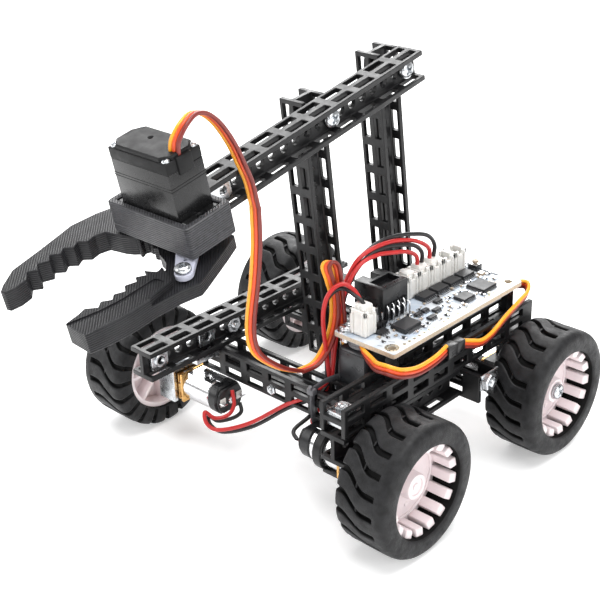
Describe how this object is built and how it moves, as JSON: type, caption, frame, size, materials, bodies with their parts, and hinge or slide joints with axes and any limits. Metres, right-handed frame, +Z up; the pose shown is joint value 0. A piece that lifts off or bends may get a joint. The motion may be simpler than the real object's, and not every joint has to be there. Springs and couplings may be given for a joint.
{
  "type": "line follower robot",
  "caption": "Wheeled construction-kit robot of slotted black beams, with a parallelogram lifting arm and a servo-driven gripper.",
  "frame": {"origin": "on the ground, under the middle of the overall width and length", "axes": "+Z up, -Y towards the gripper, +X towards the side with the stacked beams and the circuit board"},
  "size_m": [0.135, 0.1783, 0.1308],
  "materials": {
    "black_beam_plastic": "satin",
    "printed_black_plastic": "matt, printed layers",
    "servo_case_plastic": "satin",
    "tyre_rubber": "matt",
    "white_hub_plastic": "satin",
    "zinc_steel": "zinc plated",
    "motor_can_steel": "nickel plated",
    "gearbox_brass": "satin",
    "shaft_steel": "ground",
    "white_board": "solder mask",
    "white_socket_plastic": "satin",
    "black_socket_plastic": "satin",
    "grey_battery_sleeve": "shrink sleeve",
    "grey_spacer": "matt",
    "white_horn_plastic": "satin"
  },
  "bodies": {
    "chassis": {"far_side_beam": "black_beam_plastic", "near_upper_beam": "black_beam_plastic", "near_lower_beam": "black_beam_plastic", "front_cross_beam": "black_beam_plastic", "rear_cross_beam": "black_beam_plastic", "tower_base_beam": "black_beam_plastic", "front_base_pivot_screw": "zinc_steel", "rear_base_pivot_screw": "zinc_steel", "gearbox_front_near": "gearbox_brass", "gearbox_rear_near": "gearbox_brass", "gearbox_front_far": "gearbox_brass", "gearbox_rear_far": "gearbox_brass", "motor_front_near": "motor_can_steel", "motor_rear_near": "motor_can_steel", "motor_front_far": "motor_can_steel", "motor_rear_far": "motor_can_steel", "motor_bracket_front_near": "black_beam_plastic", "motor_bracket_rear_near": "black_beam_plastic", "motor_bracket_front_far": "black_beam_plastic", "motor_bracket_rear_far": "black_beam_plastic", "circuit_board": "white_board", "power_socket": "white_socket_plastic", "modular_socket": "black_socket_plastic", "motor_sockets": "white_socket_plastic", "button_body": "black_socket_plastic", "standoff_near_front": "zinc_steel", "standoff_near_rear": "zinc_steel", "battery_pack": "grey_battery_sleeve", "pack_spacer": "grey_spacer", "far_beam_bracket": "zinc_steel", "near_beam_bracket": "zinc_steel", "line_sensor": "white_board"},
    "front_link": {"front_upright": "black_beam_plastic"},
    "rear_link": {"rear_upright": "black_beam_plastic"},
    "arm": {"arm_beam": "black_beam_plastic", "arm_end_bracket": "zinc_steel", "front_top_pivot_screw": "zinc_steel", "rear_top_pivot_screw": "zinc_steel", "gripper_body": "printed_black_plastic", "gripper_servo": "servo_case_plastic", "servo_lid": "servo_case_plastic", "far_jaw_pin": "zinc_steel"},
    "near_jaw": {"near_jaw": "printed_black_plastic", "servo_horn": "white_horn_plastic", "horn_screw": "zinc_steel", "near_jaw_pin": "zinc_steel"},
    "far_jaw": {"far_jaw": "printed_black_plastic"},
    "reset_button": {"reset_button": "zinc_steel"},
    "wheel_front_near": {"tyre_front_near": "tyre_rubber", "hub_front_near": "white_hub_plastic", "shaft_front_near": "shaft_steel"},
    "wheel_rear_near": {"tyre_rear_near": "tyre_rubber", "hub_rear_near": "white_hub_plastic", "shaft_rear_near": "shaft_steel"},
    "wheel_front_far": {"tyre_front_far": "tyre_rubber", "hub_front_far": "white_hub_plastic", "shaft_front_far": "shaft_steel"},
    "wheel_rear_far": {"tyre_rear_far": "tyre_rubber", "hub_rear_far": "white_hub_plastic", "shaft_rear_far": "shaft_steel"}
  },
  "joints": [
    {"name": "lift", "type": "hinge", "parent": "chassis", "child": "front_link", "pos_m": [0.00095, 0.02445, 0.03865], "axis": [1, 0, 0], "range_deg": [-12, 34]},
    {"name": "rear_link_swing", "type": "hinge", "parent": "chassis", "child": "rear_link", "pos_m": [0.00095, 0.05879, 0.04539], "axis": [1, 0, 0], "range_deg": [-12, 34]},
    {"name": "arm_level", "type": "hinge", "parent": "front_link", "child": "arm", "pos_m": [0.01095, 0.01595, 0.1182], "axis": [1, 0, 0], "range_deg": [-34, 12]},
    {"name": "grip", "type": "hinge", "parent": "arm", "child": "near_jaw", "pos_m": [0.01645, -0.04512, 0.0991], "axis": [0, -0.1924, 0.9813], "range_deg": [-16.5, 12]},
    {"name": "far_jaw_turn", "type": "hinge", "parent": "arm", "child": "far_jaw", "pos_m": [-0.00355, -0.04512, 0.0991], "axis": [0, -0.1924, 0.9813], "range_deg": [-12, 16.5]},
    {"name": "reset_press", "type": "slide", "parent": "chassis", "child": "reset_button", "axis": [0, 0, -1], "range_m": [0, 0.0003]},
    {"name": "spin_front_near", "type": "hinge", "parent": "chassis", "child": "wheel_front_near", "pos_m": [0.05795, -0.00536, 0.0215], "axis": [1, 0, 0], "continuous": true},
    {"name": "spin_rear_near", "type": "hinge", "parent": "chassis", "child": "wheel_rear_near", "pos_m": [0.05795, 0.06764, 0.0215], "axis": [1, 0, 0], "continuous": true},
    {"name": "spin_front_far", "type": "hinge", "parent": "chassis", "child": "wheel_front_far", "pos_m": [-0.05795, -0.00536, 0.0215], "axis": [1, 0, 0], "continuous": true},
    {"name": "spin_rear_far", "type": "hinge", "parent": "chassis", "child": "wheel_rear_far", "pos_m": [-0.05795, 0.06764, 0.0215], "axis": [1, 0, 0], "continuous": true}
  ],
  "couplings": [
    {"joint": "arm_level", "follows": "lift", "ratio": -1},
    {"joint": "rear_link_swing", "follows": "lift", "ratio": 1},
    {"joint": "far_jaw_turn", "follows": "grip", "ratio": -1}
  ]
}
